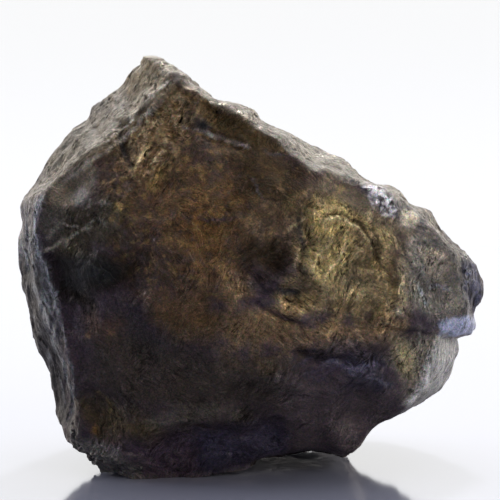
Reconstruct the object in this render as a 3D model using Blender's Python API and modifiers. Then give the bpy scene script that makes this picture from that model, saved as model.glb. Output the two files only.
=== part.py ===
"""Rough iolite stone: one broken piece of cordierite crystal, solid right through.

The stone is lofted through three outlines, knapped flat at the back, hollowed by shell-shaped
scars, given a rough skin, and cut flat where it rests. Units are metres, +Z is up, the broad
broken face looks along -Y, and the origin is the middle of the box's base.
"""

import math

import math
import random

import bmesh
import bpy
from mathutils import Matrix, Vector
from mathutils.bvhtree import BVHTree

MM = 0.001

# ---- Driving dimensions, in millimetres ------------------------------------------------------
BACK_DEPTH = 9.5  # how far behind the outline the unknapped block reaches
BACK_SHRINK = 0.82  # size of the block's back end beside its outline
BACK_DROP = 0.8  # how much lower its underside is at the back
SKIN_SPACING = 0.27  # grid of the fine skin before it is thinned
LUMP_SIZE = 5.0  # width of the soft swellings in the skin
LUMP_HEIGHT = 0.40
GRIT_SIZE = 1.1  # width of the small hackles in the skin
GRIT_HEIGHT = 0.20
FLAKES = 84  # small flakes struck off all over, spread evenly round the stone
FLAKE_RADIUS = (4.5, 10.0)  # from the tightest scar to the flattest
FLAKE_BITE = (0.25, 0.62)  # how deep a scar goes at its middle
FLAKE_SEED = 7
SPARED = ((-5.6, 0.0, 23.0), (13.0, 1.0, 8.6))  # no flake is struck near the peak or the step
SPARED_WITHIN = 3.2
STOCK = 0.20  # spare thickness all over, which the flakes take back off
THINNED_SHARE = 0.16  # share of the skin's triangles that the solid keeps
SLAB = 40.0  # side of the blocks that knap a flat face
SLIVER = 0.05  # triangles thinner than this are closed up
GROUND = 0.0  # the height below which the stone is worn off flat, so that it rests

# The broad face's middle, where it swells furthest forward: across, depth, height.
FACE_MIDDLE = (-1.0, -8.0, 11.4)
FACE_RINGS = (0.34, 0.68)  # rings between the middle and the arris, as a share of the way out

# The arris: the sharp edge round the broad face, clockwise from the corner under the peak.
ARRIS = (
    (-4.2, -3.5, 22.1),
    (-2.8, -3.8, 21.1),
    (-1.1, -4.0, 20.5),
    (0.6, -4.5, 19.4),
    (1.9, -4.8, 18.4),
    (3.2, -5.2, 17.3),
    (5.3, -4.5, 16.7),
    (7.1, -4.2, 15.8),
    (8.8, -3.8, 14.8),
    (10.2, -3.0, 13.6),
    (11.3, -2.4, 11.8),
    (12.0, -2.0, 10.2),
    (11.9, -2.2, 8.8),
    (10.5, -3.0, 7.8),
    (10.3, -3.0, 6.0),
    (8.8, -3.5, 4.0),
    (6.6, -3.5, 2.7),
    (4.7, -4.0, 1.5),
    (1.9, -5.0, 1.6),
    (-0.9, -6.0, 0.9),
    (-4.0, -6.4, 0.5),
    (-7.1, -5.6, 0.9),
    (-9.0, -5.0, 2.0),
    (-9.7, -5.0, 4.3),
    (-10.3, -5.2, 7.2),
    (-10.7, -5.5, 9.6),
    (-11.4, -5.5, 11.5),
    (-11.9, -5.0, 13.7),
    (-11.5, -4.6, 15.9),
    (-10.0, -4.4, 17.3),
    (-8.3, -4.2, 18.3),
    (-6.3, -3.8, 20.0),
)

# The outline: the stone's widest section, corner for corner with the arris, from the peak.
OUTLINE = (
    (-5.7, 0.3, 23.1),
    (-4.2, -0.5, 22.1),
    (-2.4, 0.0, 20.7),
    (-0.4, 1.0, 20.0),
    (1.2, 1.5, 18.7),
    (2.9, 2.0, 17.9),
    (4.7, 1.5, 17.2),
    (6.7, 1.0, 15.9),
    (8.5, 0.5, 14.9),
    (10.1, 0.0, 14.3),
    (11.3, 0.0, 12.8),
    (12.6, 0.5, 11.4),
    (13.0, 1.0, 9.9),
    (12.9, 1.0, 7.6),
    (12.5, 1.5, 6.4),
    (11.2, 2.0, 4.3),
    (9.2, 2.0, 3.0),
    (6.8, 0.5, 2.0),
    (5.1, -0.3, 0.8),
    (1.9, -0.5, 0.5),
    (-2.1, -5.0, -0.3),
    (-5.2, -5.5, -0.4),
    (-9.1, -2.5, 0.9),
    (-10.9, -1.0, 2.4),
    (-11.2, 0.0, 4.9),
    (-12.2, 0.5, 7.0),
    (-12.6, 0.5, 9.2),
    (-13.1, 0.5, 12.1),
    (-12.7, 1.0, 14.4),
    (-11.3, 2.0, 16.9),
    (-8.9, 3.0, 20.0),
    (-7.2, 1.5, 21.3),
)

# Flat breaks: name, a point on the break, the way it faces.
BREAKS = (
    ("back", (0.0, 8.6, 11.0), (0.12, 1.0, 0.10)),
    ("back_upper_left", (-7.4, 6.4, 18.4), (-0.55, 0.70, 0.45)),
    ("back_upper_right", (4.5, 5.4, 15.0), (0.45, 0.60, 0.66)),
    ("back_right", (11.0, 4.6, 8.0), (0.80, 0.60, -0.05)),
    ("back_left", (-11.0, 4.2, 8.5), (-0.85, 0.52, 0.05)),
    ("back_low", (0.0, 7.6, 3.0), (-0.05, 0.85, -0.50)),
    ("undercut_right", (7.6, 3.6, 2.0), (0.55, 0.25, -0.80)),
    ("undercut_left", (-8.8, 1.6, 1.4), (-0.60, 0.10, -0.80)),
    ("front_upper", (-3.0, -6.3, 17.0), (-0.12, -0.90, 0.42)),
    ("front_right", (8.0, -4.9, 11.4), (0.46, -0.86, 0.20)),
    ("front_left", (-8.0, -6.2, 8.0), (-0.50, -0.85, -0.02)),
    ("front_low", (3.5, -7.6, 8.0), (0.16, -0.85, -0.50)),
)

# Shell-shaped hollows where flakes came away: name, centre and radii of the ball that fits each.
HOLLOWS = (
    ("dark_hollow", (-8.0, -12.6, 11.9), (5.5, 7.0, 3.8)),
    ("window", (-11.6, -7.6, 16.9), (3.2, 3.8, 2.6)),
    ("pit", (1.2, -11.4, 12.4), (2.1, 3.9, 1.5)),
    ("belly", (3.5, -12.6, 6.6), (5.0, 5.4, 1.9)),
    ("low_right", (8.1, -2.6, 1.2), (2.5, 4.4, 2.1)),
    ("left_dent", (-13.9, -2.6, 5.2), (2.0, 4.5, 3.6)),
    ("crown_step", (1.4, -8.2, 20.6), (2.4, 3.4, 2.0)),
    ("back_flake", (3.0, 13.5, 13.0), (5.0, 6.0, 4.0)),
    ("back_chip", (-5.0, 12.4, 6.0), (3.6, 5.0, 3.2)),
    ("top_chip", (4.2, 1.2, 20.8), (3.0, 3.4, 3.1)),
)

# The step at the right end: under it the stone is set back by a straight-sided notch.
STEP_UNDERSIDE = 7.6
STEP_FRONT = 12.25
STEP_SIZE = (6.0, 14.0, 5.0)


def remove_everything():
    for thing in list(bpy.data.objects):
        bpy.data.objects.remove(thing)


def collection(name):
    made = bpy.data.collections.new(name)
    bpy.context.scene.collection.children.link(made)
    return made


def face_ring(share):
    """A ring on the broad face, which swells like a shallow dome from its middle to the arris."""
    ring = []
    for across, depth, height in ARRIS:
        ring.append((
            FACE_MIDDLE[0] + (across - FACE_MIDDLE[0]) * share,
            FACE_MIDDLE[1] + (depth - FACE_MIDDLE[1]) * share**2,
            FACE_MIDDLE[2] + (height - FACE_MIDDLE[2]) * share,
        ))
    return ring


def back_corner(corner):
    """Where this corner of the outline ends up at the back: further in, and lower underneath."""
    across, _, height = corner
    middle = FACE_MIDDLE[2]
    if height > middle:
        height = middle + (height - middle) * BACK_SHRINK
    else:
        height -= BACK_DROP
    return across * BACK_SHRINK, BACK_DEPTH, height


def add_ring(bm, corners):
    return [bm.verts.new(Vector(corner) * MM) for corner in corners]


def block_mesh():
    """The unknapped block: a loft from the broad face, through arris and outline, to the back."""
    bm = bmesh.new()
    back = [back_corner(corner) for corner in OUTLINE]
    rings = [add_ring(bm, face_ring(share)) for share in FACE_RINGS]
    rings += [add_ring(bm, corners) for corners in (ARRIS, OUTLINE, back)]
    count = len(ARRIS)
    for inner, outer in zip(rings, rings[1:]):
        for i in range(count):
            bm.faces.new((inner[i - 1], inner[i], outer[i], outer[i - 1]))
    middle = bm.verts.new(Vector(FACE_MIDDLE) * MM)
    for i in range(count):
        bm.faces.new((middle, rings[0][i], rings[0][i - 1]))
    bm.faces.new(rings[-1])
    bmesh.ops.recalc_face_normals(bm, faces=bm.faces)
    mesh = bpy.data.meshes.new("iolite_stone")
    bm.to_mesh(mesh)
    bm.free()
    return mesh


def cutter(name, home):
    """Names the shape just added as a cutter, out of the render, and files it with the others."""
    shape = bpy.context.object
    shape.name = name
    shape.hide_render = True
    shape.display_type = "WIRE"
    for old in list(shape.users_collection):
        old.objects.unlink(shape)
    home.objects.link(shape)
    return shape


def add_break(name, point, facing, home):
    """A block that takes off everything past a flat break."""
    bpy.ops.mesh.primitive_cube_add(size=SLAB * MM)
    slab = cutter(name, home)
    direction = Vector(facing).normalized()
    slab.rotation_euler = direction.to_track_quat("Z", "Y").to_euler()
    slab.location = (Vector(point) + direction * SLAB / 2) * MM


def add_hollow(name, centre, radii, home, fineness=4):
    """A ball, squashed to its radii, that leaves a shell-shaped scar."""
    bpy.ops.mesh.primitive_ico_sphere_add(
        subdivisions=fineness, radius=MM, location=Vector(centre) * MM
    )
    cutter(name, home).scale = radii


def even_directions(count):
    """Directions spread evenly over a ball, along a golden-angle spiral."""
    for i in range(count):
        height = 1 - 2 * (i + 0.5) / count
        turn = i * math.pi * (3 - math.sqrt(5))
        level = math.sqrt(1 - height**2)
        yield Vector((level * math.cos(turn), level * math.sin(turn), height))


def add_flakes(stone, home):
    """Balls that each bite a shallow scar where a ray from inside meets the stone's surface."""
    surface = BVHTree.FromObject(stone, bpy.context.evaluated_depsgraph_get())
    inside = Vector((0, 0, FACE_MIDDLE[2])) * MM
    chance = random.Random(FLAKE_SEED)
    for i, direction in enumerate(even_directions(FLAKES)):
        hit, facing, _, _ = surface.ray_cast(inside, direction)
        radius = chance.uniform(*FLAKE_RADIUS)
        bite = chance.uniform(*FLAKE_BITE)
        if min((hit / MM - Vector(spot)).length for spot in SPARED) < SPARED_WITHIN:
            continue
        centre = hit / MM + facing * (radius - bite)
        add_hollow(f"flake_{i}", centre, (radius, radius, radius), home, fineness=3)


def add_step(home):
    """The notch under the step at the right end."""
    bpy.ops.mesh.primitive_cube_add(size=MM)
    notch = cutter("step_notch", home)
    notch.scale = STEP_SIZE
    notch.location = (
        (STEP_FRONT + STEP_SIZE[0] / 2) * MM,
        0.0,
        (STEP_UNDERSIDE - STEP_SIZE[2] / 2) * MM,
    )


def cut_all(stone, cutters):
    """Takes every cutter in this collection off the stone."""
    cut = stone.modifiers.new("knap", "BOOLEAN")
    cut.operation = "DIFFERENCE"
    cut.solver = "EXACT"
    cut.operand_type = "COLLECTION"
    cut.collection = cutters
    cut.use_self = True


def roughen(stone, name, kind, size, height):
    """Pushes the skin in and out by a cloud or cell pattern of this size."""
    pattern = bpy.data.textures.new(name, kind)
    pattern.noise_scale = size * MM
    push = stone.modifiers.new(name, "DISPLACE")
    push.texture = pattern
    push.texture_coords = "LOCAL"
    push.mid_level = 0.5
    push.strength = height * MM


def finish_skin(stone):
    """A fine closed skin over the knapped block, roughened, then thinned to large facets."""
    skin = stone.modifiers.new("skin", "REMESH")
    skin.mode = "VOXEL"
    skin.voxel_size = SKIN_SPACING * MM
    ease = stone.modifiers.new("ease", "SMOOTH")
    ease.factor = 0.5
    ease.iterations = 2
    stock = stone.modifiers.new("stock", "DISPLACE")
    stock.mid_level = 0
    stock.strength = STOCK * MM
    roughen(stone, "lumps", "CLOUDS", LUMP_SIZE, LUMP_HEIGHT)
    roughen(stone, "hackles", "CLOUDS", GRIT_SIZE, GRIT_HEIGHT)
    thin = stone.modifiers.new("thin", "DECIMATE")
    thin.ratio = THINNED_SHARE


def flatten_modifiers(stone):
    """Turns the modifier stack into plain geometry, so that the stone can be centred and cut."""
    bpy.context.view_layer.objects.active = stone
    stone.select_set(True)
    bpy.ops.object.convert(target="MESH")


def corners_of(mesh):
    """The lowest and highest corner of the mesh's box."""
    points = [vertex.co for vertex in mesh.vertices]
    low = Vector([min(point[axis] for point in points) for axis in range(3)])
    high = Vector([max(point[axis] for point in points) for axis in range(3)])
    return low, high


def seat(stone):
    """Cuts the resting facet flat, then stands the middle of the box's base on the origin."""
    mesh = stone.data
    bm = bmesh.new()
    bm.from_mesh(mesh)
    everything = bm.verts[:] + bm.edges[:] + bm.faces[:]
    bmesh.ops.bisect_plane(
        bm,
        geom=everything,
        dist=1e-7,
        plane_co=(0, 0, GROUND * MM),
        plane_no=(0, 0, 1),
        clear_inner=True,
    )
    bmesh.ops.holes_fill(bm, edges=[edge for edge in bm.edges if edge.is_boundary])
    bmesh.ops.dissolve_degenerate(bm, dist=SLIVER * MM, edges=bm.edges)
    bmesh.ops.triangulate(bm, faces=bm.faces, quad_method="BEAUTY", ngon_method="BEAUTY")
    bmesh.ops.recalc_face_normals(bm, faces=bm.faces)
    bm.to_mesh(mesh)
    bm.free()
    low, high = corners_of(mesh)
    mesh.transform(Matrix.Translation((-(low.x + high.x) / 2, -(low.y + high.y) / 2, -low.z)))
    print("shift (mm):", -(low.x + high.x) / 2 / MM, -(low.y + high.y) / 2 / MM, -low.z / MM)


def stone_material():
    """Dark violet-brown cordierite with a glassy broken surface."""
    material = bpy.data.materials.new("iolite")
    material.use_nodes = True
    shader = material.node_tree.nodes["Principled BSDF"]
    shader.inputs["Base Color"].default_value = (0.062, 0.047, 0.034, 1.0)
    shader.inputs["Roughness"].default_value = 0.35
    shader.inputs["IOR"].default_value = 1.54
    return material


remove_everything()
home = collection("iolite")
breaks = collection("breaks")
scars = collection("scars")

stone = bpy.data.objects.new("iolite_stone", block_mesh())
home.objects.link(stone)
for name, point, facing in BREAKS:
    add_break(name, point, facing, breaks)
add_step(breaks)
cut_all(stone, breaks)
for name, centre, radii in HOLLOWS:
    add_hollow(name, centre, radii, scars)
add_flakes(stone, scars)
cut_all(stone, scars)
finish_skin(stone)
flatten_modifiers(stone)
seat(stone)
stone.data.materials.append(stone_material())
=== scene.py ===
# %% [markdown]
# # A rough iolite stone
#
# Iolite is the gem name of cordierite, a violet-brown mineral that breaks like glass. This is
# one broken piece of it, about 26 mm across, standing on a glossy pale table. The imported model
# gives the stone's size and its large breaks; this script gives it a fine broken skin and the
# look of dark crystal with golden, violet and grey zones.

# %% Load the frame
import math

import bmesh
import bpy
import numpy as np
from mathutils import Matrix, Vector, noise


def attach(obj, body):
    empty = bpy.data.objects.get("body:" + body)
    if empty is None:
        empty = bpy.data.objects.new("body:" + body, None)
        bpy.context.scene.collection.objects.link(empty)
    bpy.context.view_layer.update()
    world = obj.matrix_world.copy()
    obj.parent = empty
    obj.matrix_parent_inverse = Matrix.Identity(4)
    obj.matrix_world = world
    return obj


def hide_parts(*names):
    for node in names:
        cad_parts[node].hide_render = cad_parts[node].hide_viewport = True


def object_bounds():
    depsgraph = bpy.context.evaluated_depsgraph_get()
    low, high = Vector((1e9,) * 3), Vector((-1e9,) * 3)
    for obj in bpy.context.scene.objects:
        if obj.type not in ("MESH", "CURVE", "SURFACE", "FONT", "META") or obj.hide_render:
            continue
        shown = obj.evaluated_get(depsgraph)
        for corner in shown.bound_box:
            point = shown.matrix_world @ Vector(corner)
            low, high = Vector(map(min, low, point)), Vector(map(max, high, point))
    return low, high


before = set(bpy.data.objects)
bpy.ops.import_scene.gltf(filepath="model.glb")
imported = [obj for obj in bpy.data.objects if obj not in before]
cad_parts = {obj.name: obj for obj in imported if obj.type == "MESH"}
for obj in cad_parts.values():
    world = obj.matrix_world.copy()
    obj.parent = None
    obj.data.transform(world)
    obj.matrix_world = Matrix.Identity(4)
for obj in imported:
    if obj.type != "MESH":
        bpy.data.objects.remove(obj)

MM = 0.001
cad_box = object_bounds()
print("frame box (mm):", [[round(n / MM, 2) for n in corner] for corner in cad_box])

# %% [markdown]
# ## The camera
#
# A stone this small is looked at through a long close-up lens from a little above. A long lens
# keeps its sides almost parallel. Depth of field stays off, so that every view is sharp.

# %% Place the camera
STONE_MIDDLE = Vector((-0.08, -0.83, 12.17))  # mm
EYE_HEIGHT = math.radians(8.0)  # how far the camera looks down
EYE_DISTANCE = 250.0  # mm
FRAME_WIDTH = 28.25  # mm of the subject plane that fit across the picture
SENSOR = 36.0

LOOK = Vector((0, math.cos(EYE_HEIGHT), -math.sin(EYE_HEIGHT)))
EYE = STONE_MIDDLE - LOOK * EYE_DISTANCE

lens = bpy.data.cameras.new("close_up_lens")
lens.sensor_width = SENSOR
lens.lens = SENSOR * EYE_DISTANCE / FRAME_WIDTH
lens.clip_start = 0.01
lens.clip_end = 20
camera = bpy.data.objects.new("camera", lens)
camera.location = EYE * MM
camera.rotation_euler = LOOK.to_track_quat("-Z", "Y").to_euler()
bpy.context.scene.collection.objects.link(camera)
bpy.context.scene.camera = camera
print("eye (mm):", [round(n, 1) for n in EYE])

# %% [markdown]
# ## The stone's skin
#
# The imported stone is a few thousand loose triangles. A copy of it is merged, then covered with
# an even skin of small quads, fine enough to carry chips a few tenths of a millimetre across.
# A voxel remesh is the tool for that: it gives the same spacing all over and closes the shape.

# %% Copy and remesh
SKIN_SPACING = 0.130  # mm between neighbouring points of the skin


def skin_of(node, spacing):
    """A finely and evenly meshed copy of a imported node."""
    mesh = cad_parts[node].data.copy()
    bm = bmesh.new()
    bm.from_mesh(mesh)
    bmesh.ops.remove_doubles(bm, verts=bm.verts, dist=0.001 * MM)
    bm.to_mesh(mesh)
    bm.free()
    mesh.materials.clear()
    piece = bpy.data.objects.new("rough_iolite", mesh)
    bpy.context.scene.collection.objects.link(piece)
    remesh = piece.modifiers.new("skin", "REMESH")
    remesh.mode = "VOXEL"
    remesh.voxel_size = spacing * MM
    bpy.context.view_layer.objects.active = piece
    piece.select_set(True)
    bpy.ops.object.modifier_apply(modifier="skin")
    return piece


stone = skin_of("iolite_stone", SKIN_SPACING)
print("skin:", len(stone.data.vertices), "points")

# %% [markdown]
# ## Marks on the broad face
#
# The broad face is read like a map. A place on it is given by where it stands in the square
# picture, 500 steps across and 500 down from the top left corner, and each point of the skin
# is given the same two numbers. A mark then touches only the points that face the camera, so
# it lies on the real surface, and it stays there from every side. Small noise is added to the
# numbers first, so that no mark has a ruler-straight edge.

# %% Read the skin as arrays
PICTURE = 500  # steps across and down
STEPS_PER_MM = PICTURE / FRAME_WIDTH
SEED = 11  # every random choice starts from it
noise.seed_set(SEED)  # otherwise the noise vectors would start from the clock
chance = np.random.default_rng(SEED)

count = len(stone.data.vertices)
points = np.empty(count * 3)
stone.data.vertices.foreach_get("co", points)
points = points.reshape(-1, 3) / MM

LOOK_ARRAY = np.array(LOOK)
RIGHT_ARRAY = np.array((1.0, 0.0, 0.0))
UP_ARRAY = np.cross(RIGHT_ARRAY, LOOK_ARRAY)


def place_in_picture(places):
    """How far right and down in the picture each place (mm) stands."""
    from_eye = places - np.array(EYE)
    scale = STEPS_PER_MM * EYE_DISTANCE / (from_eye @ LOOK_ARRAY)
    right = PICTURE / 2 + from_eye @ RIGHT_ARRAY * scale
    down = PICTURE / 2 - from_eye @ UP_ARRAY * scale
    return right, down


def normals_now():
    """The skin's normals, with the points as they now are."""
    stone.data.vertices.foreach_set("co", (points * MM).ravel())
    stone.data.update()
    found = np.empty(count * 3)
    stone.data.vertices.foreach_get("normal", found)
    return found.reshape(-1, 3)


def noise_at(places, size, reach=1.0):
    """A slow random push (mm) at each place."""
    return np.array([noise.noise_vector(Vector(place) / size) for place in places]) * reach


# %% [markdown]
# ## The outline
#
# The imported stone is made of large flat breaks, and the real outline swings a few tenths of a
# millimetre to either side of them. Each nudge here pulls the skin near one place on the outline
# across the picture. Its strength falls away like a bell curve, so that it leaves no edge. A
# sculptor's grab brush does the same, but a nudge in code can be changed and run again.

# %% Trim the outline
NUDGES = (  # right and down in the picture, how far to move right and down, and over what radius
    (134, 74, -2, -3, 8), (152, 55, 0, -3, 8), (80, 117, 5, 2, 9), (388, 188, 7, -5, 13),
    (342, 160, 3, -3, 10), (70, 128, -1, -2, 10), (24, 200, -6, -2, 12), (289, 134, 3, -7, 14),
    (325, 149, 1, -3, 10), (220, 92, 1, 5, 9), (448, 226, -3, 4, 14), (474, 258, -2, 2, 12),
    (483, 314, -8, 0, 8), (16, 255, -3, 0, 12), (215, 92, 0, 3, 12), (345, 440, 0, 14, 13),
    (106, 465, -9, 3, 10), (68, 428, -5, 0, 12), (80, 450, -6, 1, 10),
)
plain_right, plain_down = place_in_picture(points)
push = np.zeros((count, 3))
for x, y, to_right, to_down, radius in NUDGES:
    near = np.exp(-((plain_right - x) ** 2 + (plain_down - y) ** 2) / (2 * radius**2))
    push += near[:, None] * (RIGHT_ARRAY * to_right - UP_ARRAY * to_down) / STEPS_PER_MM
points += push
facing = normals_now()
print("largest nudge (mm):", round(np.linalg.norm(push, axis=1).max(), 2))

# %% [markdown]
# ## Finding a place on the skin
#
# Every mark asks two things: how far is a point from a line, and does it lie inside an outline?
# The helpers here answer for all the points at once. Numpy does that in a fraction of a second,
# where a loop over the points would take minutes.

# %% Place every point in the picture
plain_right, plain_down = place_in_picture(points)
ragged = points + noise_at(points, 1.1, 0.20) + noise_at(points, 0.35, 0.07)
right, down = place_in_picture(ragged)
towards_eye = -(facing @ LOOK_ARRAY)  # 1 where the skin faces the camera, 0 edge on
seen = np.clip(towards_eye / 0.25, 0, 1)  # fades a mark out where the skin turns away
print("seen from the camera:", int((towards_eye > 0).sum()), "points")


def along(path):
    """For every point: its distance to the path (mm), its side, + on the left hand of the way
    the path runs, and how far along it the nearest place is, from 0 to 1."""
    path = np.array(path, float)
    legs = path[1:] - path[:-1]
    lengths = np.linalg.norm(legs, axis=1)
    starts = np.concatenate([[0], np.cumsum(lengths)[:-1]])
    best = np.full(count, 1e9)
    side = np.zeros(count)
    gone = np.zeros(count)
    for start, leg, length, before in zip(path, legs, lengths, starts):
        x, y = right - start[0], down - start[1]
        t = np.clip((x * leg[0] + y * leg[1]) / length**2, 0, 1)
        away = np.hypot(x - t * leg[0], y - t * leg[1])
        nearer = away < best
        best[nearer] = away[nearer]
        side[nearer] = np.sign(x * leg[1] - y * leg[0])[nearer]
        gone[nearer] = (before + t * length)[nearer] / lengths.sum()
    return best / STEPS_PER_MM, side, gone


def inside(outline, soft):
    """1 inside a closed outline and 0 outside, with an edge this soft (mm)."""
    ring = list(outline) + [outline[0]]
    distance, _, _ = along(ring)
    crossings = np.zeros(count, bool)
    for (x0, y0), (x1, y1) in zip(ring, ring[1:]):
        if y0 == y1:
            continue
        between = (down > min(y0, y1)) & (down <= max(y0, y1))
        crossings ^= between & (right < x0 + (down - y0) * (x1 - x0) / (y1 - y0))
    signed = np.where(crossings, distance, -distance)
    return np.clip(signed / soft / 2 + 0.5, 0, 1) * seen


# %% [markdown]
# ## Large marks
#
# Broken crystal shows a few kinds of mark. Where two breaks meet there is a sharp ridge, where a
# flake stopped short there is a step, a crack leaves a narrow groove, and a blow leaves a
# shell-shaped hollow with a rim. Each kind is a height, in millimetres, that depends on how far
# a point is from a line or a centre, and the skin is then moved in or out by it.

# %% Tools for marks
def ridge(path, height, width):
    """A sharp crest along the path."""
    distance, _, _ = along(path)
    return height * np.exp(-distance / width) * seen


def swell(path, height, width):
    """A rounded rise along the path."""
    distance, _, _ = along(path)
    return height * np.exp(-((distance / width) ** 2)) * seen


def groove(path, depth, width):
    """A narrow crack along the path, which dies out at its ends."""
    distance, _, gone = along(path)
    ends = np.clip(np.minimum(gone, 1 - gone) * 6, 0, 1)
    return -depth * np.clip(1 - distance / width, 0, 1) * ends * seen


def step(path, height, fade, edge=0.12):
    """A raised shelf on the left hand of the path, sharp at the path and fading away from it."""
    distance, side, gone = along(path)
    signed = distance * side
    ends = np.clip(np.minimum(gone, 1 - gone) * 8, 0, 1)
    rise = np.clip(signed / edge / 2 + 0.5, 0, 1) * np.exp(-np.maximum(signed, 0) / fade)
    return height * rise * ends * seen


def hollow(x, y, wide, high, depth, turn=0.0, soft=2.0):
    """A shell-shaped hollow, wide by high (mm across), turned by degrees. At soft=1 it has a sharp
    rim, and at 2 or more its rim is rounded away."""
    across, up = (right - x) / STEPS_PER_MM, (y - down) / STEPS_PER_MM
    c, s = math.cos(math.radians(turn)), math.sin(math.radians(turn))
    q = np.hypot((across * c + up * s) / wide, (up * c - across * s) / high) * 2
    return -depth * np.clip(1 - q**2, 0, 1) ** soft * seen


print("kinds of mark:", [kind.__name__ for kind in (ridge, swell, groove, step, hollow)])


# %% [markdown]
# The stone's own marks follow: the sharp ridges round the broad face, the shelf under the peak,
# the ledge at the stepped end, the cracks between them, and a dozen shallow hollows and rises.
# They are a few tenths of a millimetre high or deep. They could be sculpted by hand. Drawn as
# curves, each one can be moved or deepened by changing one number.

# %% Ridges, steps, cracks and hollows
TOP_RIDGE = [(150, 60), (165, 73), (176, 83), (197, 98), (206, 108), (222, 112), (236, 118),
             (247, 127), (260, 135), (276, 142), (287, 153), (297, 163), (312, 175), (345, 182),
             (378, 196), (400, 215), (430, 232), (460, 262)]
SHOULDER_RIDGE = [(178, 85), (165, 98), (140, 122), (105, 153), (75, 170), (48, 195)]
LEFT_RIDGE = [(48, 195), (40, 235), (52, 280), (62, 310), (70, 350), (82, 400), (80, 440)]
SWELL = [(100, 310), (150, 290), (215, 245), (270, 225), (330, 200)]
CROWN_STEP = [(176, 92), (183, 106), (192, 120), (204, 131), (222, 140), (250, 149)]
BAND_STEP = [(120, 452), (150, 440), (185, 425), (215, 422), (245, 430), (260, 420), (277, 418),
             (283, 435), (285, 458)]
ARC_STEP = [(378, 262), (372, 240), (355, 225), (320, 214)]
LEDGE = [(370, 322), (395, 326), (415, 329), (440, 333), (475, 334)]
LAMELLA_EDGE = [(422, 396), (428, 375), (434, 358), (439, 342), (442, 334)]

MARKS = (  # the kind of mark, and what its function is given; a hollow of depth below 0 is a rise
    (ridge, TOP_RIDGE, 0.26, 0.5),
    (ridge, SHOULDER_RIDGE, 0.20, 0.45),
    (ridge, LEFT_RIDGE, 0.26, 0.5),
    (swell, SWELL, 0.12, 1.4),
    (step, CROWN_STEP, 0.38, 3.0, 0.2),
    (step, BAND_STEP, 0.18, 2.6, 0.3),
    (step, ARC_STEP, 0.22, 1.5),
    (step, LEDGE, 0.30, 2.0),
    (step, LAMELLA_EDGE, 0.20, 1.6, 0.2),
    (groove, [(118, 118), (126, 142), (133, 172)], 0.26, 0.60),
    (groove, [(240, 262), (250, 274), (264, 288), (290, 293), (316, 283)], 0.26, 0.60),
    (groove, [(252, 300), (275, 316), (296, 324), (310, 336)], 0.16, 0.35),
    (groove, [(290, 352), (320, 362), (355, 358)], 0.20, 0.35),
    (groove, [(300, 222), (312, 244), (322, 262), (318, 285)], 0.18, 0.40),
    (groove, [(462, 262), (468, 285), (474, 308)], 0.22, 0.35),
    (groove, [(315, 219), (330, 216), (346, 216)], 0.14, 0.22),
    (groove, [(352, 221), (360, 227), (368, 236)], 0.14, 0.22),
    (groove, [(372, 240), (377, 250), (378, 264)], 0.22, 0.26),
    (groove, [(311, 238), (304, 254), (300, 270), (307, 286)], 0.20, 0.26),
    (groove, [(388, 268), (392, 285), (391, 300), (387, 316)], 0.16, 0.24),
    (groove, [(340, 272), (356, 264), (374, 272)], 0.14, 0.24),
    (ridge, [(330, 236), (322, 250), (314, 266), (310, 282)], 0.12, 0.16),
    (ridge, [(345, 244), (335, 258), (326, 274), (322, 292)], 0.12, 0.16),
    (ridge, [(396, 262), (399, 285), (398, 304), (400, 318)], 0.14, 0.16),
    (groove, [(120, 130), (121, 142), (125, 154), (130, 172)], 0.16, 0.26),
    (ridge, [(134, 134), (138, 146), (136, 160)], 0.12, 0.16),
    (ridge, [(158, 122), (150, 136), (144, 150), (140, 164)], 0.14, 0.16),
    (ridge, [(168, 150), (160, 164), (152, 178)], 0.12, 0.16),
    (hollow, 118, 272, 7.0, 4.4, -0.50, -8),
    (hollow, 76, 186, 2.8, 2.0, 0.30, 30, 1.3),
    (hollow, 270, 258, 3.2, 2.4, 0.22, 25),
    (hollow, 315, 253, 1.6, 2.2, 0.20),
    (hollow, 362, 364, 4.8, 2.4, 0.36, 5, 1.6),
    (hollow, 181, 318, 4.4, 3.2, 0.20),
    (hollow, 345, 405, 8.5, 5.2, 0.30, -15),
    (hollow, 150, 380, 7.5, 6.0, 0.25),
    (step, [(232, 176), (246, 177), (257, 187), (268, 203)], 0.07, 0.8, 0.15),
    (step, [(200, 214), (212, 221), (228, 222), (242, 214)], 0.07, 0.8, 0.15),
    (hollow, 352, 276, 3.6, 3.0, 0.24, 0, 1.4),
    (hollow, 438, 285, 2.6, 3.6, 0.26, 0, 1.4),
    (hollow, 407, 220, 1.1, 0.9, 0.12),
)
out = np.zeros(count)
for kind, *sizes in MARKS:
    out += kind(*sizes)
points += facing * out[:, None]
facing = normals_now()
print(len(MARKS), "marks,", round(out.min(), 2), "to", round(out.max(), 2), "mm high")

# %% [markdown]
# At the stepped end a slab has broken away below the ledge, right through the stone's depth. The
# points there move inwards: sharply at the ledge, and less and less further down.

# %% Undercut the stepped end
NOTCH = 0.75  # mm
NOTCH_TOP = 335  # down in the picture
NOTCH_EDGE = 3  # steps down to its full depth
NOTCH_FADE = 45  # steps down over which it fades away again
NOTCH_START = 438  # right in the picture
NOTCH_BLEND = 24  # steps right to its full depth

uneven = noise_at(points, 1.6, 0.12)[:, 2] * STEPS_PER_MM
depth = plain_down + uneven - NOTCH_TOP
below = np.clip(depth / NOTCH_EDGE, 0, 1) * np.exp(-np.maximum(depth, 0) / NOTCH_FADE)
outer = np.clip((plain_right - NOTCH_START) / NOTCH_BLEND, 0, 1)
points[:, 0] -= NOTCH * below * outer
facing = normals_now()
print("undercut points:", int((below * outer > 0.1).sum()))

# %% [markdown]
# ## Rough and calm zones
#
# The break isn't equally rough all over. It is felted with fine shards on the right and flaky
# under the peak, and between them lie places that are almost smooth. An outline marks each zone.
# The calm ones get weaker marks, and so does the flat that the stone rests on.

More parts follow.
